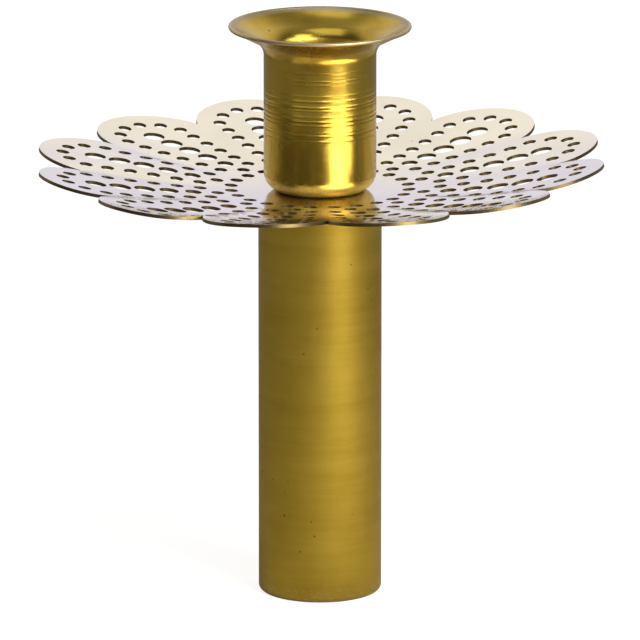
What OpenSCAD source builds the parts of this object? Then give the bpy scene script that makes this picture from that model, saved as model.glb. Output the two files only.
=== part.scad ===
// Candle holder for the neck of a bottle: a drawn candle cup, a pierced drip pan
// with round petals and a long drawn tube, held together by one screw from inside
// the cup. The origin is the centre of the tube's closed end, where it stands,
// and +Z points up to the candle. One notch between two petals faces -Y.

/* [Bottle tube] */
// Outside diameter of the tube
tube_od = 25; // [24:0.1:28]
// Wall of the tube
tube_wall = 0.6; // [0.5:0.1:0.8]
// Closed end of the tube
tube_floor = 0.8; // [0.6:0.1:1.2]
// Length of the tube
tube_h = 83; // [60:1:110]
// Outer radius of the closed end's edge
tube_edge_r = 2; // [1.5:0.1:3]

/* [Candle cup] */
// Inside diameter of the cup, for a standard table candle
cup_id = 22; // [20:0.1:23]
// Wall of the cup
cup_wall = 0.4; // [0.4:0.05:0.6]
// Height of the cup from the pan to the rim
cup_h = 34; // [30:0.1:40]
// Outer radius of the cup's foot
cup_foot_r = 3.7; // [3.7:0.1:4.2]
// Outside diameter of the flared rim
rim_d = 37; // [34:0.5:40]
// Radius of the curve that turns the wall into the rim
flare_r = 3.3; // [3:0.1:4]
// Angle that the curve turns the wall through
flare_turn = 62; // [55:1:68]
// Thickness of the rounded edge of the rim
rim_bead_d = 0.7; // [0.6:0.05:0.9]

/* [Turned lines on the cup] */
// Height of the lowest deep line above the pan
line_z = 12.2; // [10:0.1:13]
// Distance between the deep lines
line_pitch = 1.02; // [0.9:0.01:1.1]
// Number of deep lines
line_count = 10; // [6:1:10]
// Depth of a deep line
line_depth = 0.09; // [0.05:0.01:0.12]
// Number of fine lines under the flare
fine_count = 3; // [2:1:3]
// Depth of a fine line
fine_depth = 0.04; // [0.03:0.01:0.06]

/* [Drip pan] */
// Sheet thickness of the pan
pan_t = 0.6; // [0.5:0.1:0.8]
// Number of petals
petals = 12; // [10:1:14]
// Distance from the axis to the middle of a petal
petal_at = 45.8; // [44:0.1:48]
// Radius of the flat part that is clamped
hub_r = 13; // [13:0.5:14.5]
// Radius of the dish, the inside of a large sphere
dish_r = 240; // [220:5:320]

/* [Piercing] */
// Diameter of the small holes
small_hole_d = 2.7; // [2.2:0.1:2.8]
// Diameter of the largest hole in the middle row
large_hole_d = 4.5; // [3.6:0.1:4.6]
// Distance between the holes of the middle row
row_step = 5.1; // [5:0.05:5.2]
// Distance between the holes of a side row
side_step = 4.7; // [4.6:0.05:4.8]
// Distance from the petal's edge to the centres of the edge holes
edge_margin = 4.75; // [4.5:0.05:5]

/* [Clamp screw] */
// Thread diameter of the screw
screw_d = 4; // [3:0.5:4]
// Length of the screw under its head
screw_l = 10; // [9:0.5:14]
// Height of the screw's head
head_h = 2.6; // [2:0.1:2.6]
// Thickness of the washer
washer_t = 0.5; // [0.3:0.1:0.5]
// Length of the plug in the tube's mouth
plug_h = 8; // [6:0.5:10]

/* [Hidden] */
$fn = 96;

// Clearances on the diameter
screw_play = 0.3;
thread_play = 0.1;
solder_play = 0.05;

// Overlap that lets one shape cut cleanly through another
eps = 1;

// Tube and plug
tube_id = tube_od - 2 * tube_wall;
plug_d = tube_id - solder_play;
plug_chamfer = 0.8;
screw_hole_d = screw_d + screw_play;

// Heights of the stack
pan_z = tube_h;
cup_z = pan_z + pan_t;
washer_z = cup_z + cup_wall;
head_z = washer_z + washer_t;

// Cup and flare
cup_od = cup_id + 2 * cup_wall;
lip_slope = 90 - flare_turn;
bend_end_r = cup_od / 2 + flare_r * (1 - cos(flare_turn));
lip_run = rim_d / 2 - rim_bead_d / 2 - bend_end_r + cup_wall / 2 * sin(lip_slope);
lip_rise = lip_run * tan(lip_slope) + cup_wall / 2 * cos(lip_slope);
bend_end_z = cup_h - rim_bead_d / 2 - lip_rise;
lip_l = lip_run / cos(lip_slope);
flare_z = bend_end_z - flare_r * sin(flare_turn);
line_r = 0.4;
fine_r = 0.25;
fine_pitch = 0.85;
fine_drop = 4.2;

// Screw head and washer
head_d = 1.75 * screw_d;
slot_w = 0.3 * screw_d;
slot_depth = 0.42 * head_h;
washer_d = 2.25 * screw_d;

// Pan: neighbouring petal circles overlap a little and leave a sharp notch
petal_pitch = 360 / petals;
petal_overlap = 1.054;
petal_r = petal_at * sin(petal_pitch / 2) * petal_overlap;
inner_disc_r = petal_at * cos(petal_pitch / 2);
dish_z = pan_z + sqrt(pow(dish_r + pan_t, 2) - pow(hub_r, 2));
dish_depth = 16;

// Holes of one petal: a ring along its edge, two side rows and a middle row
edge_ring_r = petal_r - edge_margin;
edge_ring_step = 360 / 11;
edge_pairs = 4;
side_angle = 0.627 * petal_pitch / 2;
side_gap = 7.3;
side_count = 4;
side_first_r = petal_at - side_gap - (side_count - 1) * side_step;
row_shift = 1.2;
row_count = 6;
row_first_r = petal_at + row_shift - (row_count - 1) * row_step;
row_growth = 22.5;
hub_land = 5.1;
hub_ring_r = hub_r + hub_land;

// Diameter of hole j of the middle row: it grows outward, then shrinks at the tip
function row_hole_d(j) = small_hole_d + (large_hole_d - small_hole_d) * sin(row_growth * j);

// Uneven steps of the turned lines, as a hand on the lathe leaves them
function line_shift(i) = 0.2 * line_pitch * sin(137 * i);

// Solid of revolution with a rounded lower edge, as a half section
module rounded_cup_section(r, h, edge) {
    square([r - edge, h]);
    translate([0, edge]) square([r, h - edge]);
    translate([r - edge, edge]) circle(r = edge);
}

// Curve between the cup's wall and the lip of the rim, as a half section
module flare_section() {
    reach = 2 * (flare_r + cup_wall);
    translate([cup_od / 2 + flare_r, flare_z])
        intersection() {
            difference() {
                circle(r = flare_r + cup_wall);
                circle(r = flare_r);
            }
            polygon([[0, 0], [-reach, 0], [-reach, reach],
                     [-reach * cos(flare_turn), reach * sin(flare_turn)]]);
        }
}

// Straight lip and rounded edge of the rim, as a half section
module lip_section() {
    translate([bend_end_r, bend_end_z])
        rotate(lip_slope) {
            square([lip_l, cup_wall]);
            translate([lip_l, cup_wall / 2]) circle(d = rim_bead_d, $fn = 48);
        }
}

// Shallow grooves that the lathe tool left round the cup
module turned_lines_section() {
    for (i = [0 : line_count - 1])
        translate([cup_od / 2 + line_r - line_depth, line_z + line_pitch * i + line_shift(i)])
            circle(r = line_r, $fn = 32);
    for (i = [1 : fine_count])
        translate([cup_od / 2 + fine_r - fine_depth, flare_z - fine_drop + fine_pitch * i])
            circle(r = fine_r, $fn = 32);
}

// Drawn cup for the candle, with a flared rim and a screw hole in its floor
module candle_cup() {
    color([0.62, 0.50, 0.16])
        translate([0, 0, cup_z])
            difference() {
                rotate_extrude() {
                    difference() {
                        rounded_cup_section(cup_od / 2, flare_z, cup_foot_r);
                        translate([0, cup_wall])
                            rounded_cup_section(cup_id / 2, flare_z, cup_foot_r - cup_wall);
                        turned_lines_section();
                        translate([-cup_od, 0]) square([cup_od, cup_h]);
                    }
                    flare_section();
                    lip_section();
                }
                translate([0, 0, -eps]) cylinder(d = screw_hole_d, h = cup_wall + 2 * eps);
            }
}

// Outline of the pan: a disc with a ring of round petals
module petal_outline() {
    circle(r = inner_disc_r);
    for (i = [0 : petals - 1])
        rotate((i + 0.5) * petal_pitch)
            translate([petal_at, 0])
                circle(r = petal_r);
}

// Dished sheet with a flat hub, before it is cut to shape
module dished_sheet() {
    difference() {
        intersection() {
            translate([0, 0, dish_z]) sphere(r = dish_r + pan_t, $fn = 360);
            translate([0, 0, pan_z]) linear_extrude(dish_depth) petal_outline();
        }
        intersection() {
            translate([0, 0, dish_z]) sphere(r = dish_r, $fn = 360);
            translate([0, 0, pan_z + pan_t]) cylinder(r = petal_at + petal_r + eps, h = dish_depth);
        }
    }
}

// One round hole through the sheet, at a radius and a distance beside the petal's axis
module pierce(along, beside, d) {
    translate([along, beside, pan_z - eps])
        cylinder(d = d, h = dish_depth + 2 * eps, $fn = 32);
}

// All the holes of one petal, whose axis is +X
module petal_holes() {
    for (j = [0 : row_count - 1])
        pierce(row_first_r + row_step * j, 0, row_hole_d(j));
    for (side = [-1, 1]) {
        for (j = [0 : side_count - 1])
            rotate(side * side_angle) pierce(side_first_r + side_step * j, 0, small_hole_d);
        for (k = [0 : edge_pairs - 1]) {
            turn = side * (k + 0.5) * edge_ring_step;
            pierce(petal_at + edge_ring_r * cos(turn), edge_ring_r * sin(turn), small_hole_d);
        }
        rotate(side * petal_pitch / 4) pierce(hub_ring_r, 0, small_hole_d);
    }
}

// Pierced and dished drip pan, clamped between the cup and the tube
module drip_pan() {
    color([0.86, 0.80, 0.66])
        difference() {
            dished_sheet();
            for (i = [0 : petals - 1])
                rotate((i + 0.5) * petal_pitch) petal_holes();
            pierce(0, 0, screw_hole_d);
        }
}

// Drawn tube that goes into the bottle's neck, closed at the bottom
module bottle_tube() {
    color([0.50, 0.40, 0.13])
        rotate_extrude()
            difference() {
                rounded_cup_section(tube_od / 2, tube_h, tube_edge_r);
                translate([0, tube_floor])
                    rounded_cup_section(tube_id / 2, tube_h, tube_edge_r - tube_wall);
                translate([-tube_od, 0]) square([tube_od, tube_h]);
            }
}

// Turned plug, soldered flush into the tube's mouth and tapped for the screw
module end_plug() {
    color([0.72, 0.58, 0.26])
        translate([0, 0, tube_h - plug_h])
            difference() {
                union() {
                    translate([0, 0, plug_chamfer]) cylinder(d = plug_d, h = plug_h - plug_chamfer);
                    cylinder(d1 = plug_d - 2 * plug_chamfer, d2 = plug_d, h = plug_chamfer);
                }
                translate([0, 0, -eps]) cylinder(d = screw_d + thread_play, h = plug_h + 2 * eps);
            }
}

// Slotted cheese-head screw from the cup's floor down into the plug
module clamp_screw() {
    color([0.70, 0.57, 0.27]) {
        difference() {
            translate([0, 0, head_z]) cylinder(d = head_d, h = head_h);
            translate([-head_d, -slot_w / 2, head_z + head_h - slot_depth])
                cube([2 * head_d, slot_w, slot_depth + eps]);
        }
        translate([0, 0, head_z - screw_l]) cylinder(d = screw_d, h = screw_l + slot_depth / 2);
    }
}

// Plain washer under the screw's head
module washer() {
    color([0.74, 0.61, 0.30])
        translate([0, 0, washer_z])
            difference() {
                cylinder(d = washer_d, h = washer_t);
                translate([0, 0, -eps]) cylinder(d = screw_hole_d, h = washer_t + 2 * eps);
            }
}

candle_cup();
drip_pan();
bottle_tube();
end_plug();
clamp_screw();
washer();
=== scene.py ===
# %% [markdown]
# # A brass candle holder for a bottle, in Blender
#
# The holder is made of thin brass: a drawn cup for the candle, a pierced pan with twelve
# petals that catches the wax, and a long tube that goes into the bottle's neck. A screw
# holds the three together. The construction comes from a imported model, the frame, which
# gives every piece its place. This lesson makes the pieces again with the fine shapes and
# the finishes that a camera sees: rounded edges, turned lines, brushing, scratches, spots.
#
# Everything is in metres. Sizes of the object are written in millimetres and multiplied
# by MM, because that is how a maker thinks of them.

# %% Load the frame
import math

import bpy
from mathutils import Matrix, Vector


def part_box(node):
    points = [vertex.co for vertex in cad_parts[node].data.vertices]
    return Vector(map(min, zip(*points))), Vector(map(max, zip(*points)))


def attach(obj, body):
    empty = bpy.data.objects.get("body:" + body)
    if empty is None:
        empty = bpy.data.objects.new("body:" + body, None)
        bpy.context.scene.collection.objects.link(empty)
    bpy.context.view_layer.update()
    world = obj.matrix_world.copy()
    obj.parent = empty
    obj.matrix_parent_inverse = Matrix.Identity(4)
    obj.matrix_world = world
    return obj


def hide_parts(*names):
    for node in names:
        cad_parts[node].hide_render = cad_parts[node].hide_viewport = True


MM = 0.001
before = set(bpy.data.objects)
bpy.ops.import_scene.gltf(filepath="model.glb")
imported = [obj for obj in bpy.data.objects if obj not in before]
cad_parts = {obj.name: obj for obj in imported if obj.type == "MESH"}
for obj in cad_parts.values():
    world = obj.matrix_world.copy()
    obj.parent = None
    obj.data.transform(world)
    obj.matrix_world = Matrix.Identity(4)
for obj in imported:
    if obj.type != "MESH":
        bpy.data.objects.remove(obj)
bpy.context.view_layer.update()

# %% [markdown]
# ## Where the pieces are
#
# The frame's boxes give the heights at which the pieces meet and their outer sizes. All
# pieces share one upright axis through the origin, so a box's width is a diameter.

# %% Heights and diameters from the frame
tube_low, tube_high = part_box("bottle_tube")
pan_low, pan_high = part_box("drip_pan")
cup_low, cup_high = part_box("candle_cup")
plug_low, plug_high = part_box("end_plug")
screw_low, screw_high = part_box("clamp_screw")
washer_low, washer_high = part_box("washer")

TUBE_R = tube_high.x
TUBE_H = tube_high.z
RIM_R = cup_high.x
CUP_Z = cup_low.z
CUP_H = cup_high.z - cup_low.z
PAN_T = cup_low.z - pan_low.z
print("tube", TUBE_R / MM, TUBE_H / MM, "rim", RIM_R / MM, "cup", CUP_Z / MM, CUP_H / MM)

# %% [markdown]
# ## Small helpers
#
# A Blender operator works on whatever is selected, so each step starts from a clean
# selection. A finished piece has its place in its mesh: its object sits at the origin.

# %% Selection and modifiers
def deselect_all():
    """Leaves edit mode and selects nothing."""
    if bpy.context.object and bpy.context.object.mode != "OBJECT":
        bpy.ops.object.mode_set(mode="OBJECT")
    bpy.ops.object.select_all(action="DESELECT")


def select_only(piece):
    """Selects one piece and makes it the active one."""
    deselect_all()
    piece.select_set(True)
    bpy.context.view_layer.objects.active = piece


def new_piece(name):
    """Names the object that an operator has just added."""
    piece = bpy.context.object
    piece.name = name
    piece.data.name = name
    return piece


def edit(piece):
    """Opens a piece for editing with its whole mesh selected."""
    select_only(piece)
    bpy.ops.object.mode_set(mode="EDIT")
    bpy.ops.mesh.select_all(action="SELECT")


def settle(piece):
    """Moves a piece's place into its mesh and leaves its object at the origin."""
    select_only(piece)
    bpy.ops.object.transform_apply(location=True, rotation=True, scale=True)


def modify(piece, kind, **settings):
    """Adds one modifier and applies it at once."""
    select_only(piece)
    modifier = piece.modifiers.new(kind.title(), kind)
    for name, value in settings.items():
        setattr(modifier, name, value)
    bpy.ops.object.modifier_apply(modifier=modifier.name)


def smooth(piece, degrees):
    """Shades a piece smooth, with sharp edges past an angle."""
    select_only(piece)
    bpy.ops.object.shade_smooth_by_angle(angle=math.radians(degrees))


def finish_piece(piece, node, body="root"):
    """Settles a piece, hides the frame's part it replaces, puts it under its body, prints its
    triangles.
    """
    settle(piece)
    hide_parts(node)
    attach(piece, body)
    piece.data.calc_loop_triangles()
    print(piece.name, len(piece.data.loop_triangles), "triangles")


# %% [markdown]
# ## Turning a piece, ring by ring
#
# Cup, tube, plug, screw and washer are round. On a lathe one would cut their outline; in
# Blender a ring can be extruded along the same outline, each time lifted to the next
# height and scaled to the next radius. Spinning a drawn outline would do the same, but
# this way keeps every ring exactly round and needs no outline object.

# %% Outline helpers
def arc(centre_r, centre_z, radius, start, end, steps):
    """Points on a round stretch of an outline, with angles in degrees from outward."""
    points = []
    for i in range(steps + 1):
        turn = math.radians(start + (end - start) * i / steps)
        points.append((centre_r + radius * math.cos(turn), centre_z + radius * math.sin(turn)))
    return points


def turn_on_lathe(name, outline, sides=192):
    """A closed round solid whose half section is the outline, a list of (radius, height)."""
    deselect_all()
    first_r, first_z = outline[0]
    bpy.ops.mesh.primitive_circle_add(
        vertices=sides, radius=first_r, fill_type="NOTHING", location=(0, 0, first_z)
    )
    piece = new_piece(name)
    settle(piece)
    edit(piece)
    last_r, last_z = first_r, first_z
    for ring_r, ring_z in outline[1:] + outline[:1]:
        bpy.ops.mesh.extrude_region_move(
            TRANSFORM_OT_translate={"value": (0, 0, ring_z - last_z)}
        )
        grow = ring_r / last_r
        bpy.ops.transform.resize(value=(grow, grow, 1), center_override=(0, 0, ring_z))
        last_r, last_z = ring_r, ring_z
    bpy.ops.mesh.select_all(action="SELECT")
    bpy.ops.mesh.remove_doubles(threshold=0.001 * MM)
    bpy.ops.mesh.normals_make_consistent(inside=False)
    bpy.ops.object.mode_set(mode="OBJECT")
    return piece


# %% [markdown]
# ## The tube
#
# The tube is drawn from a disc in several presses, so its lower end is closed and has a
# soft round edge. The wall is 0.6 mm thick. Its finish, a fine brushing round the tube,
# comes later as a material; the shape itself is plain.

# %% Model the tube
TUBE_WALL = 0.6 * MM
TUBE_FLOOR = 0.8 * MM
TUBE_EDGE = 1.2 * MM
SMALL_EDGE = 0.1 * MM
POLE_R = 0.05 * MM


def tube_outline():
    """Half section of the tube, from under its middle out, up the wall and back inside."""
    inner_r = TUBE_R - TUBE_WALL
    inner_edge = TUBE_EDGE - TUBE_WALL
    outline = [(POLE_R, 0), (4 * MM, 0), (TUBE_R - 1.2 * TUBE_EDGE, 0)]
    outline += arc(TUBE_R - TUBE_EDGE, TUBE_EDGE, TUBE_EDGE, -90, 0, 16)
    outline += [(TUBE_R, TUBE_H * i / 12) for i in range(1, 12)]
    outline += [(TUBE_R, TUBE_H - SMALL_EDGE), (TUBE_R - SMALL_EDGE, TUBE_H)]
    outline += [(inner_r + SMALL_EDGE, TUBE_H), (inner_r, TUBE_H - SMALL_EDGE)]
    outline += arc(inner_r - inner_edge, TUBE_FLOOR + inner_edge, inner_edge, 0, -90, 8)
    outline += [(POLE_R, TUBE_FLOOR)]
    return outline


tube = turn_on_lathe("bottle_tube_drawn", tube_outline(), sides=256)
smooth(tube, 40)
finish_piece(tube, "bottle_tube")

# %% [markdown]
# ## The candle cup
#
# The cup is drawn too, then its mouth is spun outward into a wide flared rim with a
# rounded edge. The tool has left shallow lines round the wall, deeper ones halfway up and
# fine ones under the flare. They catch the light, so they are real grooves here: each is
# a smooth dip of the outline. Depths and steps differ a little from line to line.

# %% Model the cup
CUP_WALL = 0.4 * MM
CUP_OUT_R = 11.4 * MM
CUP_FOOT = 3.7 * MM
FLOOR_HOLE_R = 2.15 * MM
FLARE_R = 3.3 * MM
FLARE_TURN = 62
BEAD_R = 0.42 * MM
BEAD_TURN = 145
DEEP_LINE_Z = 12.2 * MM
DEEP_LINE_STEP = 1.02 * MM
DEEP_LINE_HALF = 0.34 * MM
DEEP_LINES = 10
FINE_LINES = 4
FINE_LINE_DROP = 4.0 * MM
FINE_LINE_STEP = 0.78 * MM
FINE_LINE_HALF = 0.24 * MM
WALL_STEP = 0.085 * MM
PLAIN_STEPS = 12


def line_places(flare_z):
    """Height, depth and half width of each turned line on the cup's wall."""
    places = []
    for i in range(DEEP_LINES):
        shift = 0.2 * DEEP_LINE_STEP * math.sin(math.radians(137 * i))
        depth = (0.030 + 0.016 * math.sin(1.9 * i + 0.6)) * MM
        places.append((DEEP_LINE_Z + DEEP_LINE_STEP * i + shift, depth, DEEP_LINE_HALF))
    for i in range(FINE_LINES):
        depth = (0.014 + 0.006 * math.sin(2.3 * i)) * MM
        places.append((flare_z - FINE_LINE_DROP + FINE_LINE_STEP * i, depth, FINE_LINE_HALF))
    return places


def grooved_wall(low, high, places):
    """Points up the cup's outside, dipping smoothly at every turned line."""
    points = []
    count = round((high - low) / WALL_STEP)
    for i in range(1, count):
        z = low + (high - low) * i / count
        dip = 0
        near = False
        for place, depth, half in places:
            away = abs(z - place)
            if away < half:
                dip += depth * 0.5 * (1 + math.cos(math.pi * away / half))
            near = near or away < half + WALL_STEP
        if near or i % PLAIN_STEPS == 0:
            points.append((CUP_OUT_R - dip, z))
    return points


def cup_outline():
    """Half section of the cup: floor hole, foot, wall, flare, bead and back down inside."""
    lip_slope = 90 - FLARE_TURN
    slope = math.radians(lip_slope)
    bend_r = CUP_OUT_R + FLARE_R * (1 - math.cos(math.radians(FLARE_TURN)))
    lip_run = RIM_R - BEAD_R - bend_r + CUP_WALL / 2 * math.sin(slope)
    lip_rise = lip_run * math.tan(slope) + CUP_WALL / 2 * math.cos(slope)
    flare_z = CUP_H - BEAD_R - lip_rise - FLARE_R * math.sin(math.radians(FLARE_TURN))
    inner_r = CUP_OUT_R - CUP_WALL
    inner_foot = CUP_FOOT - CUP_WALL
    bead_r = RIM_R - BEAD_R
    bead_z = CUP_H - BEAD_R
    outline = [(FLOOR_HOLE_R, 0), (CUP_OUT_R - 1.15 * CUP_FOOT, 0)]
    outline += arc(CUP_OUT_R - CUP_FOOT, CUP_FOOT, CUP_FOOT, -90, 0, 20)
    outline += grooved_wall(CUP_FOOT, flare_z, line_places(flare_z))
    outline += arc(CUP_OUT_R + FLARE_R, flare_z, FLARE_R, 180, 180 - FLARE_TURN, 14)
    outline += arc(bead_r, bead_z, BEAD_R, lip_slope - BEAD_TURN, lip_slope + BEAD_TURN, 16)
    outline += arc(CUP_OUT_R + FLARE_R, flare_z, FLARE_R + CUP_WALL, 180 - FLARE_TURN, 180, 14)
    outline += [(inner_r, flare_z - (flare_z - CUP_FOOT) * i / 5) for i in range(1, 5)]
    outline += arc(inner_r - inner_foot, CUP_FOOT, inner_foot, 0, -90, 14)
    outline += [(FLOOR_HOLE_R, CUP_WALL)]
    return [(r, z + CUP_Z) for r, z in outline]


cup = turn_on_lathe("candle_cup_drawn", cup_outline(), sides=256)
smooth(cup, 50)
finish_piece(cup, "candle_cup")

# %% [markdown]
# ## The drip pan
#
# The pan starts as a flat sheet. Twelve round petals stand side by side round a disc, and
# every petal has the same 24 holes: a ring along its edge, two side rows, a middle row
# whose holes grow outward, and two near the hub. A flat plate of small squares is cut to
# the petals' outline and pierced with Booleans: its squares give the sheet points enough to
# be dished later, all of about one size. The plate lies a little off the axis, so that the
# lines between its squares don't fall on the axes of petals and holes.

# %% Sizes of the pan and its holes
PETALS = 12
PETAL_PITCH = 360 / PETALS
PETAL_AT = 45.8 * MM
PETAL_OVERLAP = 1.054
PETAL_R = PETAL_AT * math.sin(math.radians(PETAL_PITCH / 2)) * PETAL_OVERLAP
INNER_DISC_R = PETAL_AT * math.cos(math.radians(PETAL_PITCH / 2))
HUB_R = 13 * MM
DISH_R = 240 * MM
SMALL_HOLE = 2.7 * MM
LARGE_HOLE = 4.5 * MM
EDGE_MARGIN = 4.75 * MM
EDGE_RING_R = PETAL_R - EDGE_MARGIN
EDGE_RING_STEP = 360 / 11
EDGE_PAIRS = 4
ROW_HOLES = 6
ROW_STEP = 5.1 * MM
ROW_SHIFT = 1.2 * MM
ROW_GROWTH = 22.5
SIDE_HOLES = 4
SIDE_STEP = 4.7 * MM
SIDE_GAP = 7.3 * MM
SIDE_ANGLE = 0.627 * PETAL_PITCH / 2
HUB_LAND = 5.1 * MM
PLATE = 4 * MM
SQUARE = 1.9 * MM
SQUARES = 62
PLATE_PLACE = (0.31 * MM, 0.17 * MM, -PLATE / 4)


def petal_holes():
    """(distance, angle in degrees, diameter) of every hole of a petal that points along X."""
    holes = []
    for j in range(ROW_HOLES):
        growth = math.sin(math.radians(ROW_GROWTH * j))
        across = SMALL_HOLE + (LARGE_HOLE - SMALL_HOLE) * growth
        holes.append((PETAL_AT + ROW_SHIFT - (ROW_HOLES - 1 - j) * ROW_STEP, 0, across))
    for side in (-1, 1):
        for j in range(SIDE_HOLES):
            away = PETAL_AT - SIDE_GAP - (SIDE_HOLES - 1 - j) * SIDE_STEP
            holes.append((away, side * SIDE_ANGLE, SMALL_HOLE))
        for k in range(EDGE_PAIRS):
            turn = math.radians(side * (k + 0.5) * EDGE_RING_STEP)
            along = PETAL_AT + EDGE_RING_R * math.cos(turn)
            beside = EDGE_RING_R * math.sin(turn)
            angle = math.degrees(math.atan2(beside, along))
            holes.append((math.hypot(along, beside), angle, SMALL_HOLE))
        holes.append((HUB_R + HUB_LAND, side * PETAL_PITCH / 4, SMALL_HOLE))
    return holes


print(len(petal_holes()), "holes in a petal,", PETALS * len(petal_holes()), "in the pan")

# %% [markdown]
# On the real pan one press tool cuts the outline and punches the holes of a flat sheet.
# Booleans do the same here: the outline keeps what lies inside it, the punches take away.


# %% Punch the flat sheet
def add_disc(x, y, radius, sides, height=PLATE):
    """One upright round plug, for the sheet's outline or a hole."""
    bpy.ops.mesh.primitive_cylinder_add(
        vertices=sides, radius=radius, depth=height, location=(x, y, 0)
    )
    return bpy.context.object


def joined(parts, name):
    """Joins several objects into one."""
    deselect_all()
    for part in parts:
        part.select_set(True)
    bpy.context.view_layer.objects.active = parts[0]
    bpy.ops.object.join()
    return new_piece(name)


def petal_outline():
    """The pan's outline as a thick flat plate: a disc and twelve overlapping petals."""
    deselect_all()
    outline = add_disc(0, 0, INNER_DISC_R, 144)
    for i in range(PETALS):
        turn = math.radians((i + 0.5) * PETAL_PITCH)
        petal = add_disc(PETAL_AT * math.cos(turn), PETAL_AT * math.sin(turn), PETAL_R, 96)
        modify(outline, "BOOLEAN", object=petal, operation="UNION", solver="EXACT")
        bpy.data.objects.remove(petal)
    return outline


def plate_of_squares(square, count):
    """A flat plate, thinner than the outline, whose faces are small squares."""
    deselect_all()
    bpy.ops.mesh.primitive_grid_add(
        x_subdivisions=count,
        y_subdivisions=count,
        size=count * square,
        location=PLATE_PLACE,
    )
    plate = new_piece("drip_pan_pierced")
    settle(plate)
    edit(plate)
    bpy.ops.mesh.extrude_region_move(TRANSFORM_OT_translate={"value": (0, 0, PLATE / 2)})
    bpy.ops.mesh.select_all(action="SELECT")
    bpy.ops.mesh.normals_make_consistent(inside=False)
    bpy.ops.object.mode_set(mode="OBJECT")
    return plate


def hole_punches():
    """All the holes of the pan as one object of round punches."""
    deselect_all()
    punches = [add_disc(0, 0, FLOOR_HOLE_R, 32, 2 * PLATE)]
    for i in range(PETALS):
        for away, angle, across in petal_holes():
            turn = math.radians((i + 0.5) * PETAL_PITCH + angle)
            sides = 36 if across > 3.5 * MM else 28
            x, y = away * math.cos(turn), away * math.sin(turn)
            punches.append(add_disc(x, y, across / 2, sides, 2 * PLATE))
    return joined(punches, "punches")


pan = plate_of_squares(SQUARE, SQUARES)
outline = petal_outline()
modify(pan, "BOOLEAN", object=outline, operation="INTERSECT", solver="EXACT")
bpy.data.objects.remove(outline)
punches = hole_punches()
modify(pan, "BOOLEAN", object=punches, operation="DIFFERENCE", solver="EXACT")
bpy.data.objects.remove(punches)
print("punched plate:", len(pan.data.polygons), "faces")

# %% [markdown]
# ## From a plate to a sheet with points to move
#
# Only the plate's upper side is kept: a pierced sheet without thickness, which is easy to
# bend. Its thickness comes back once it is dished.


# %% Keep the upper side
def keep_upper_face(piece):
    """Deletes all faces but the upper ones, joins points that coincide, makes triangles."""
    edit(piece)
    bpy.ops.mesh.select_all(action="DESELECT")
    bpy.ops.object.mode_set(mode="OBJECT")
    for face in piece.data.polygons:
        face.select = face.normal.z < 0.5
    bpy.ops.object.mode_set(mode="EDIT")
    bpy.ops.mesh.select_mode(type="FACE")
    bpy.ops.mesh.delete(type="FACE")
    bpy.ops.mesh.select_mode(type="VERT")
    bpy.ops.mesh.select_all(action="SELECT")
    bpy.ops.mesh.remove_doubles(threshold=0.03 * MM)
    bpy.ops.mesh.quads_convert_to_tris(quad_method="BEAUTY", ngon_method="BEAUTY")
    bpy.ops.object.mode_set(mode="OBJECT")


keep_upper_face(pan)
print("sheet:", len(pan.data.vertices), "points")

# %% [markdown]
# ## Dish the sheet
#
# The hub stays flat, because it is clamped. Outside it the sheet follows a large sphere.
# Use has bent the petals a little, each its own way, and a mirror shows such bends, so
# they are here too: for each petal how far its middle and its tip stand above the sphere,
# and how far one side stands above the other, in tenths of a millimetre. TILT is the slope
# of the whole pan, which stands higher on the right.

# %% Bends of the petals, counted from the right and going round to the back
TILT = 0.009
BEND_UNIT = 0.1 * MM
HUB_BLEND = 1.5 * MM
BEND_FROM = HUB_R + 3 * MM
BEND_FULL = PETAL_AT - 6 * MM
TIP_FROM = PETAL_AT - 12 * MM
TIP_FULL = PETAL_AT + PETAL_R
BENDS = [
    (1, 3, 1),
    (-4, -1, 0),
    (1, -1, -1),
    (3, -4, 1),
    (1, -6, 1),
    (9, 2, 0),
    (2, 3, -3),
    (-5, -5, -5),
    (-6, -9, 2),
    (-6, -9, -1),
    (-4, -4, 2),
    (-3, 5, 3),
]


def ease(low, high, value):
    """0 below low, 1 above high, and a smooth rise between."""
    t = min(max((value - low) / (high - low), 0), 1)
    return t * t * (3 - 2 * t)


def sheet_height(x, y):
    """Height of the sheet's upper face above the hub. across goes from -1 to 1 over a petal."""
    away = math.hypot(x, y)
    sphere = DISH_R - math.sqrt(DISH_R**2 - away**2)
    hub = DISH_R - math.sqrt(DISH_R**2 - HUB_R**2)
    height = max(sphere - hub, 0) * ease(HUB_R, HUB_R + HUB_BLEND, away)
    around = math.degrees(math.atan2(y, x)) % 360 / PETAL_PITCH
    petal = int(around) % PETALS
    across = (around - int(around)) * 2 - 1
    middle, tip, twist = (bend * BEND_UNIT for bend in BENDS[petal])
    spread = 1 - abs(across) ** 3
    outward = ease(BEND_FROM, BEND_FULL, away)
    to_tip = ease(TIP_FROM, TIP_FULL, away)
    height += spread * outward * (middle * (1 - to_tip) + tip * to_tip)
    height += twist * across * (1 - across**4) * 1.5 * outward
    return height + TILT * x * ease(HUB_R, PETAL_AT, away)


for point in pan.data.vertices:
    point.co.z = CUP_Z + sheet_height(point.co.x, point.co.y)

# %% [markdown]
# Solidify gives the sheet its thickness downward, and a little more for the burr that a
# punch leaves. The walls of the holes are part of it, and they are what a low camera sees as
# a dark crescent in each hole; their nearly black colour in the pan's finish is painted shade.

# %% Thicken the sheet
BURR = 1.12
modify(pan, "SOLIDIFY", thickness=BURR * PAN_T, offset=-1, use_even_offset=False)
smooth(pan, 40)
finish_piece(pan, "drip_pan")

# %% [markdown]
# ## Screw, washer and plug
#
# One screw holds everything. Its head lies at the bottom of the cup, where only a look
# straight down shows it. The head is turned, its slot is sawn, and the thread is cut: here
# the thread is a row of rings, which nobody can tell from a helix inside the plug.

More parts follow.
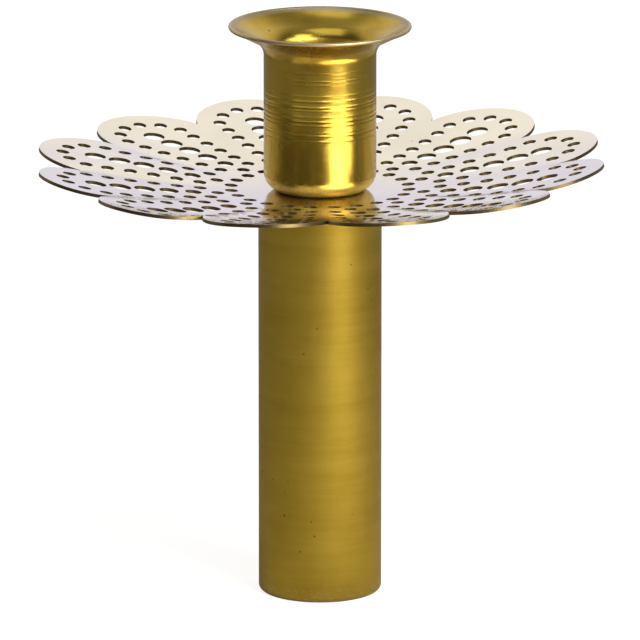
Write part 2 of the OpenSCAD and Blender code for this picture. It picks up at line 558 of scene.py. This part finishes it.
# %% Model the screw, the washer and the plug
SCREW_R = 2 * MM
HEAD_R = screw_high.x
HEAD_H = 2.6 * MM
HEAD_Z = screw_high.z - HEAD_H
SLOT_W = 1.2 * MM
SLOT_DEPTH = 1.1 * MM
HEAD_EDGE = 0.5 * MM
THREAD_STEP = 0.7 * MM
THREAD_DEPTH = 0.3 * MM
WASHER_EDGE = 0.08 * MM
PLUG_CHAMFER = 0.8 * MM
PLUG_BORE_R = SCREW_R + 0.05 * MM
BORE_EDGE = 0.3 * MM


def screw_outline():
    """Half section of the screw, from its point up the thread to the head."""
    outline = [(POLE_R, screw_low.z), (SCREW_R - 1.5 * THREAD_DEPTH, screw_low.z)]
    turns = int((HEAD_Z - screw_low.z) / THREAD_STEP) - 1
    for i in range(turns):
        z = screw_low.z + (i + 0.5) * THREAD_STEP
        outline += [(SCREW_R - THREAD_DEPTH, z), (SCREW_R, z + THREAD_STEP / 2)]
    outline += [(SCREW_R - THREAD_DEPTH, HEAD_Z - THREAD_STEP), (SCREW_R, HEAD_Z - 0.3 * MM)]
    outline += [(SCREW_R, HEAD_Z), (HEAD_R - SMALL_EDGE, HEAD_Z)]
    outline += [(HEAD_R, HEAD_Z + SMALL_EDGE)]
    outline += arc(HEAD_R - HEAD_EDGE, screw_high.z - HEAD_EDGE, HEAD_EDGE, 0, 90, 8)
    outline += [(SCREW_R, screw_high.z), (POLE_R, screw_high.z)]
    return outline


def washer_outline():
    """Half section of the washer, with its outer edges broken."""
    outer_r = washer_high.x
    return [
        (FLOOR_HOLE_R, washer_low.z),
        (outer_r - WASHER_EDGE, washer_low.z),
        (outer_r, washer_low.z + WASHER_EDGE),
        (outer_r, washer_high.z - WASHER_EDGE),
        (outer_r - WASHER_EDGE, washer_high.z),
        (FLOOR_HOLE_R, washer_high.z),
    ]


def plug_outline():
    """Half section of the plug, with a lead-in below and a broken edge at its bore."""
    outer_r = plug_high.x
    return [
        (PLUG_BORE_R + BORE_EDGE, plug_low.z),
        (outer_r - PLUG_CHAMFER, plug_low.z),
        (outer_r, plug_low.z + PLUG_CHAMFER),
        (outer_r, plug_high.z - SMALL_EDGE),
        (outer_r - SMALL_EDGE, plug_high.z),
        (PLUG_BORE_R + BORE_EDGE, plug_high.z),
        (PLUG_BORE_R, plug_high.z - BORE_EDGE),
        (PLUG_BORE_R, plug_low.z + BORE_EDGE),
    ]


def saw_slot(piece):
    """Saws the screwdriver's slot across the top of the head."""
    deselect_all()
    bpy.ops.mesh.primitive_cube_add(size=1, location=(0, 0, screw_high.z))
    saw = bpy.context.object
    saw.scale = (3 * HEAD_R, SLOT_W, 2 * SLOT_DEPTH)
    settle(saw)
    modify(piece, "BOOLEAN", object=saw, operation="DIFFERENCE", solver="EXACT")
    bpy.data.objects.remove(saw)


screw = turn_on_lathe("clamp_screw_slotted", screw_outline(), sides=96)
saw_slot(screw)
smooth(screw, 35)
finish_piece(screw, "clamp_screw")

washer = turn_on_lathe("washer_plain", washer_outline(), sides=96)
smooth(washer, 30)
finish_piece(washer, "washer")

plug = turn_on_lathe("end_plug_turned", plug_outline(), sides=128)
smooth(plug, 30)
finish_piece(plug, "end_plug")

# %% [markdown]
# ## Shader maths as Python
#
# A finish is a network of nodes. Written out, such a network is long, so a small class
# wraps a socket: adding or multiplying two of them adds the Math node that does it. Network
# holds a node tree, and its method node() makes any other node. A Finish is the network of
# one material.


# %% The classes of sockets, networks and finishes
class Wire:
    """An output socket that takes part in sums, products and masks."""

    def __init__(self, network, socket):
        self.network = network
        self.socket = socket

    def math(self, operation, *others):
        """Adds a Math node with this wire as its first value."""
        values = dict(enumerate((self, *others)))
        return self.network.node("ShaderNodeMath", {"operation": operation}, values)

    def __add__(self, other):
        return self.math("ADD", other)

    def __sub__(self, other):
        return self.math("SUBTRACT", other)

    def __rsub__(self, other):
        return self.network.value(other).math("SUBTRACT", self)

    def __mul__(self, other):
        return self.math("MULTIPLY", other)

    __radd__ = __add__

    def above(self, low, high):
        """0 below low, 1 above high, smooth between: a soft mask."""
        settings = {"interpolation_type": "SMOOTHSTEP"}
        sockets = {"Value": self, "From Min": low, "From Max": high}
        return self.network.node("ShaderNodeMapRange", settings, sockets)


class Network:
    """A node tree, to which nodes are added."""

    def __init__(self, tree):
        self.tree = tree

    def node(self, kind, settings=None, sockets=None, output=0):
        """Adds a node: its settings first, then the values or wires of its sockets."""
        made = self.tree.nodes.new(kind)
        for name, value in (settings or {}).items():
            setattr(made, name, value)
        for name, value in (sockets or {}).items():
            self.feed(made.inputs[name], value)
        return Wire(self, made.outputs[output])

    def feed(self, socket, value):
        """Links a wire to a socket, or sets a plain value on it."""
        if isinstance(value, Wire):
            self.tree.links.new(value.socket, socket)
        else:
            socket.default_value = value

    def value(self, number):
        """A plain number as a wire, for sums that start with a number."""
        return self.node("ShaderNodeMath", {"operation": "ADD"}, {0: number, 1: 0.0})

    def mix(self, share, first, second):
        """Colour between two colours."""
        settings = {"data_type": "RGBA"}
        sockets = {"Factor": share, 6: first, 7: second}
        return self.node("ShaderNodeMix", settings, sockets, output=2)

    def axis(self, letter, where):
        """One of the three parts of a place or a direction."""
        return self.node("ShaderNodeSeparateXYZ", None, {0: where}, output=letter)

    def length(self, where):
        """How far a place is from the origin."""
        settings = {"operation": "LENGTH"}
        return self.node("ShaderNodeVectorMath", settings, {0: where}, output="Value")


class Finish(Network):
    """The network of one material, with its main shader."""

    def __init__(self, name):
        self.material = bpy.data.materials.new(name)
        self.material.use_nodes = True
        super().__init__(self.material.node_tree)
        self.shader = self.tree.nodes["Principled BSDF"]

    def set(self, **sockets):
        """Sets or links sockets of the main shader, with _ for a space in their names."""
        for name, value in sockets.items():
            self.feed(self.shader.inputs[name.replace("_", " ")], value)

    def place(self, scale=(1, 1, 1), shift=(0, 0, 0)):
        """Object coordinates, scaled and shifted."""
        coordinates = self.node("ShaderNodeTexCoord", output="Object")
        sockets = {"Vector": coordinates, "Scale": scale, "Location": shift}
        return self.node("ShaderNodeMapping", None, sockets)

    def noise(self, where, scale, detail=3.0, rough=0.55):
        """Soft irregular clouds from 0 to 1."""
        sockets = {"Vector": where, "Scale": scale, "Detail": detail, "Roughness": rough}
        return self.node("ShaderNodeTexNoise", None, sockets, output="Fac")

    def dots(self, where, scale):
        """Distance to scattered points: small values are the spots."""
        sockets = {"Vector": where, "Scale": scale}
        return self.node("ShaderNodeTexVoronoi", None, sockets, output="Distance")

    def height(self, wire):
        """A bumped normal from a height over the surface, in millimetres."""
        return self.node("ShaderNodeBump", None, {"Height": wire, "Distance": MM})


def dress(piece, finish):
    """Gives a piece one finish."""
    piece.data.materials.clear()
    piece.data.materials.append(finish.material)


# %% [markdown]
# ## Brass, brushed round the tube
#
# Brushing is thousands of fine scratches that run round the tube. Noise that is squeezed
# along the axis and stretched across it draws them. They roughen the shine in one
# direction, so the highlight becomes a tall soft strip. Old lacquer gives the brass an
# olive tone, and there are small dark pits and rubbed spots near the lower edge.


# %% Finish of the tube
def brushed_brass():
    """Satin olive brass, brushed round the tube."""
    finish = Finish("brushed_brass")
    streaks = finish.noise(finish.place((90, 90, 5200)), 1.0, 2.0)
    bands = finish.noise(finish.place((30, 30, 420)), 1.0, 3.0)
    clouds = finish.noise(finish.place(), 70.0, 4.0)
    pits = 1 - finish.dots(finish.place(), 420.0).above(0.07, 0.14)
    some = finish.noise(finish.place(shift=(3, 1, 2)), 160.0, 2.0).above(0.56, 0.66)
    pits = pits * some
    low_edge = 1 - finish.axis("Z", finish.place()).above(1.0 * MM, 4.5 * MM)
    rubbed = low_edge * finish.noise(finish.place((1, 1, 2)), 900.0, 4.0).above(0.5, 0.62)
    tone = clouds * 0.5 + bands * 0.3 + streaks * 0.2
    colour = finish.mix(
        tone.above(0.35, 0.65), (0.52, 0.345, 0.036, 1), (0.64, 0.44, 0.06, 1)
    )
    colour = finish.mix(pits * 0.75, colour, (0.10, 0.065, 0.02, 1))
    colour = finish.mix(rubbed * 0.5, colour, (0.62, 0.50, 0.25, 1))
    rough = 0.27 + streaks * 0.08 + clouds * 0.06 + pits * 0.3
    bump = streaks * 0.0012 + bands * 0.001 - pits * 0.02
    finish.set(
        Base_Color=colour,
        Metallic=1.0,
        Roughness=rough,
        Anisotropic=0.55,
        Normal=finish.height(bump),
    )
    return finish


dress(tube, brushed_brass())
print("tube dressed")

# %% [markdown]
# ## Brass, drawn and glossy
#
# The cup is smoother than the tube and almost mirrors. It is darker where lacquer and
# touch have browned it, speckled with small pits on one side, and its rim is rubbed grey
# along the edge. Inside it is grainy, because nobody polished there.


# %% Finish of the cup
def drawn_brass():
    """Glossy browned brass with pits, a grainy inside and a worn rim."""
    finish = Finish("drawn_brass")
    place = finish.place()
    x = finish.axis("X", place)
    z = finish.axis("Z", place)
    from_axis = finish.length(finish.place((1, 1, 0)))
    inside = 1 - from_axis.above(CUP_OUT_R - 0.3 * MM, CUP_OUT_R - 0.1 * MM)
    inside = inside * (1 - z.above(CUP_Z + 27.5 * MM, CUP_Z + 29.5 * MM))
    lines = finish.noise(finish.place((60, 60, 3800)), 1.0, 2.0)
    clouds = finish.noise(place, 95.0, 4.0)
    grain = finish.noise(place, 2600.0, 2.0)
    pits = 1 - finish.dots(place, 620.0).above(0.10, 0.20)
    left = 1 - x.above(-9 * MM, 2 * MM)
    patch = finish.noise(finish.place(shift=(5, 2, 1)), 190.0, 2.0).above(0.50, 0.62)
    pits = pits * patch * (0.25 + left * 0.75)
    edge = z.above(CUP_Z + CUP_H - 1.0 * MM, CUP_Z + CUP_H - 0.5 * MM)
    worn = edge * (0.55 + grain * 0.45)
    browned = clouds.above(0.42, 0.68)
    colour = finish.mix(browned, (0.52, 0.36, 0.05, 1), (0.40, 0.25, 0.025, 1))
    colour = finish.mix(pits * 0.8, colour, (0.09, 0.055, 0.015, 1))
    colour = finish.mix(inside * grain.above(0.4, 0.6) * 0.6, colour, (0.68, 0.52, 0.15, 1))
    colour = finish.mix(worn * 0.75, colour, (0.42, 0.39, 0.32, 1))
    rough = 0.17 + lines * 0.09 + clouds * 0.06 + pits * 0.35 + inside * 0.20 + worn * 0.25
    bump = lines * 0.0012 - pits * 0.03 + inside * grain * 0.02 + worn * grain * 0.01
    finish.set(
        Base_Color=colour,
        Metallic=1.0,
        Roughness=rough,
        Coat_Weight=0.1,
        Coat_Roughness=0.15,
        Normal=finish.height(bump),
    )
    return finish


dress(cup, drawn_brass())
print("cup dressed")

# %% [markdown]
# ## Brass, polished and pale
#
# The pan is polished until it mirrors its pale surroundings, so it looks far lighter than
# the tube. Hairline scratches run every way, and a few dark specks sit in it. The walls of
# the holes and the cut edge were never polished, so they are rough; their nearly black brown
# colour is painted shade, standing for the dark inside of each hole.


# %% Finish of the pan
def scratches(finish, turn, scale):
    """Hairline scratches along one direction: noise stretched into threads."""
    coordinates = finish.node("ShaderNodeTexCoord", output="Object")
    settings = {"vector_type": "TEXTURE"}
    sockets = {"Vector": coordinates, "Rotation": (0, 0, math.radians(turn))}
    turned = finish.node("ShaderNodeMapping", settings, sockets)
    sockets = {"Vector": turned, "Scale": (60, scale, 60)}
    stretched = finish.node("ShaderNodeMapping", None, sockets)
    return finish.noise(stretched, 1.0, 2.0).above(0.66, 0.74)


def polished_brass():
    """Pale mirror brass with hairline scratches; its hole walls are rough and painted dark as
    shade.
    """
    finish = Finish("polished_brass")
    place = finish.place()
    up = finish.axis("Z", finish.node("ShaderNodeNewGeometry", output="Normal"))
    wall = 1 - up.math("ABSOLUTE").above(0.55, 0.9)
    under = 1 - up.above(-0.6, -0.3)
    clouds = finish.noise(place, 45.0, 4.0)
    fine = finish.noise(place, 900.0, 3.0)
    hair = scratches(finish, 20, 2600) * 0.5 + scratches(finish, 105, 3100) * 0.5
    specks = 1 - finish.dots(place, 260.0).above(0.035, 0.06)
    specks = specks * finish.noise(finish.place(shift=(1, 4, 2)), 60.0, 2.0).above(0.5, 0.6)
    colour = finish.mix(clouds.above(0.35, 0.7), (0.86, 0.81, 0.74, 1), (0.80, 0.75, 0.68, 1))
    colour = finish.mix(under * 0.6, colour, (0.66, 0.55, 0.32, 1))
    colour = finish.mix(specks * 0.7, colour, (0.20, 0.15, 0.08, 1))
    # Painted shade: hole walls and cut edge turn nearly black brown; only their roughness is
    # the real unpolished metal.
    colour = finish.mix(wall * 0.95, colour, (0.13, 0.085, 0.02, 1))
    rough = 0.09 + clouds * 0.05 + hair * 0.10 + under * 0.15 + wall * 0.25 + specks * 0.3
    bump = clouds * 0.02 + fine * 0.0015 - hair * 0.002 - specks * 0.01
    finish.set(
        Base_Color=colour,
        Metallic=1.0,
        Roughness=rough,
        Normal=finish.height(bump),
    )
    return finish


dress(pan, polished_brass())
print("pan dressed")

# %% [markdown]
# ## Brass, turned
#
# Screw, washer and plug come from the lathe: bright brass with fine rings that the tool
# has cut. The rings follow the distance from the axis.

# %% Finish of the turned pieces
TOOL_STEP = 0.14 * MM


def turned_brass():
    """Bright brass with the fine rings of the lathe."""
    finish = Finish("turned_brass")
    from_axis = finish.length(finish.place((1, 1, 0)))
    rings = (from_axis * (2 * math.pi / TOOL_STEP)).math("SINE")
    clouds = finish.noise(finish.place(), 320.0, 3.0)
    colour = finish.mix(clouds, (0.72, 0.56, 0.22, 1), (0.58, 0.43, 0.14, 1))
    finish.set(
        Base_Color=colour,
        Metallic=1.0,
        Roughness=0.24 + clouds * 0.12,
        Normal=finish.height(rings * 0.002),
    )
    return finish


turned = turned_brass()
for piece in (screw, washer, plug):
    dress(piece, turned)
print("turned pieces dressed")

# %% [markdown]
# ## Floor and surroundings
#
# Polished brass shows what stands round it more than its own colour. Here a white paper
# floor runs away behind the holder, the room in front is dim, and one tall window of soft
# light stands in front on the right. A low lamp brightens the paper beside it, and the tube,
# seen from above, mirrors that bright patch as a tall strip. Camera rays see plain white; the
# shadow on the floor stays, because the paper itself is lit.


# %% The paper floor
def paper():
    """Dull paper that glows for camera rays only, so it looks white but keeps shadows; painted
    darker near the holder.
    """
    finish = Finish("white_paper")
    rays = finish.node("ShaderNodeLightPath", output="Is Camera Ray")
    # Painted shade: the paper's colour is darker within 0.3 m of the holder than beyond 0.6 m,
    # and the tube mirrors it.
    far = finish.length(finish.place()).above(0.3, 0.6)
    colour = finish.mix(far, (0.36, 0.355, 0.35, 1), (0.5, 0.49, 0.47, 1))
    finish.set(Base_Color=colour, Roughness=0.9, Specular_IOR_Level=0.0)
    glow = finish.node("ShaderNodeEmission", None, {"Color": (1, 1, 1, 1), "Strength": 0.82})
    dark = finish.node("ShaderNodeEmission", None, {"Strength": 0.0})
    seen = finish.node("ShaderNodeMixShader", None, {0: rays, 1: dark, 2: glow})
    lit = Wire(finish, finish.shader.outputs[0])
    both = finish.node("ShaderNodeAddShader", None, {0: lit, 1: seen})
    finish.tree.links.new(both.socket, finish.tree.nodes["Material Output"].inputs[0])
    return finish


deselect_all()
bpy.ops.mesh.primitive_plane_add(size=12, location=(0, 0, 0))
floor = new_piece("paper_floor")
dress(floor, paper())

# %% [markdown]
# The room round the paper is a colour for each direction: a pale wall behind, which turns
# from lavender near the floor to cream higher up and is dim overhead, and a dark front.

# %% The surroundings
world = bpy.data.worlds.new("studio")
bpy.context.scene.world = world
world.use_nodes = True
room = Network(world.node_tree)
direction = room.node("ShaderNodeTexCoord", output="Generated")
behind = room.axis("Y", direction)
upward = room.axis("Z", direction)
camera_ray = room.node("ShaderNodeLightPath", output="Is Camera Ray")
wall = room.mix(upward.above(0.12, 0.45), (0.80, 0.78, 0.90, 1), (1.0, 0.96, 0.86, 1))
wall = room.mix(upward.above(0.62, 0.92), wall, (0.40, 0.39, 0.37, 1))
front = room.mix(upward.above(0.6, 0.95), (0.10, 0.09, 0.08, 1), (0.34, 0.34, 0.35, 1))
shown = room.mix(behind.above(-0.15, 0.55), front, wall)
shown = room.mix(camera_ray, shown, (1, 1, 1, 1))
room.feed(room.tree.nodes["Background"].inputs["Color"], shown)
print("surroundings ready")

# %% [markdown]
# Three soft lamps: the window, a large dim one high up in front, which also lights the inside
# of the cup, and a low one that faces the paper. Its long side points at the window.


# %% The lamps
def add_lamp(name, place, aim, width, height, radiance, colour):
    """One soft rectangular lamp that faces a point. Radiance 1 looks as bright as white."""
    lamp = bpy.data.lights.new(name, "AREA")
    lamp.shape = "RECTANGLE"
    lamp.size = width
    lamp.size_y = height
    lamp.energy = radiance * math.pi * width * height
    lamp.color = colour
    stand = bpy.data.objects.new(name, lamp)
    bpy.context.scene.collection.objects.link(stand)
    stand.location = place
    facing = Vector(aim) - Vector(place)
    stand.rotation_euler = facing.to_track_quat("-Z", "Y").to_euler()
    return stand


WINDOW_TURN = 37
add_lamp("window", (0.27, -0.36, 0.25), (0, 0, 0.12), 0.26, 0.48, 3.0, (1.0, 0.96, 0.90))
add_lamp("ceiling", (-0.3, -0.6, 1.40), (0, 0, 0.05), 1.2, 1.2, 0.9, (1.0, 0.99, 0.97))
patch_lamp = add_lamp(
    "patch", (0.125, -0.165, 0.14), (0.125, -0.165, 0), 0.10, 0.30, 7.0, (1.0, 0.96, 0.90)
)
patch_lamp.rotation_euler = (0, 0, math.radians(WINDOW_TURN))
print("lamps ready")

# %% [markdown]
# ## The camera
#
# The picture was taken from about two metres with a long lens, a little above the pan, so
# upright lines hardly run together. The lens and the aim follow from the scale of the
# picture: so many pixels for a millimetre at the pan.

# %% Place the camera
PICTURE = 640
PIXELS_PER_MM = 4.925
DISTANCE = 2.0
ELEVATION = 13.6
AZIMUTH = 1.5
AIM_HEIGHT = 56.3 * MM
AXIS_PIXEL = 320.0

camera = bpy.data.cameras.new("camera")
camera.sensor_width = 36
camera.lens = PIXELS_PER_MM / MM * DISTANCE * camera.sensor_width / PICTURE
camera.clip_end = 50
viewer = bpy.data.objects.new("camera", camera)
bpy.context.scene.collection.objects.link(viewer)
bpy.context.scene.camera = viewer
tilt = math.radians(ELEVATION)
swing = math.radians(AZIMUTH)
aim_x = (PICTURE / 2 - AXIS_PIXEL) / PIXELS_PER_MM * MM
target = Vector((aim_x, 0, AIM_HEIGHT))
away = Vector(
    (-math.sin(swing) * math.cos(tilt), -math.cos(swing) * math.cos(tilt), math.sin(tilt))
)
viewer.location = target + away * DISTANCE
viewer.rotation_euler = (-away).to_track_quat("-Z", "Y").to_euler()
print("camera lens", round(camera.lens), "mm")

# %% [markdown]
# ## Last things
#
# The picture keeps plain colours.

# %% Keep plain colours
bpy.context.scene.view_settings.view_transform = "Standard"
